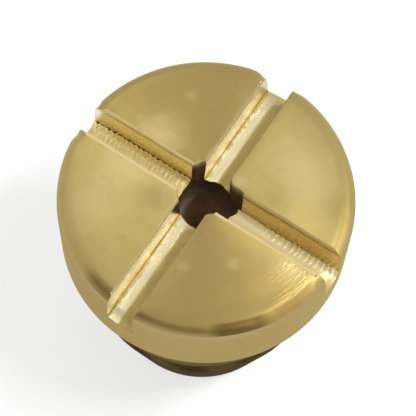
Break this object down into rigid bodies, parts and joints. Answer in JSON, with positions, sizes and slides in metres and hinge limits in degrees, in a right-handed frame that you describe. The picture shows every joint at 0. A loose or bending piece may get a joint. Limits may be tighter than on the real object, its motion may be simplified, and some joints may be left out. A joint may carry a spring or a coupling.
{
  "type": "bleed screw",
  "caption": "Short brass bleed screw with a round head, crossed driver slots, a bleed hole along its axis, a threaded shank and a long cone at the tip.",
  "frame": {"origin": "middle of the flat end of the tip, on which the screw stands", "axes": "+Z along the screw from the tip to the head, +X and +Y along the two driver slots"},
  "size_m": [0.012, 0.012, 0.0133],
  "materials": {
    "turned_brass": "satin turned brass, slightly dulled, with bright sawn slots"
  },
  "bodies": {
    "root": {"bleed_screw": "turned_brass"}
  },
  "joints": []
}
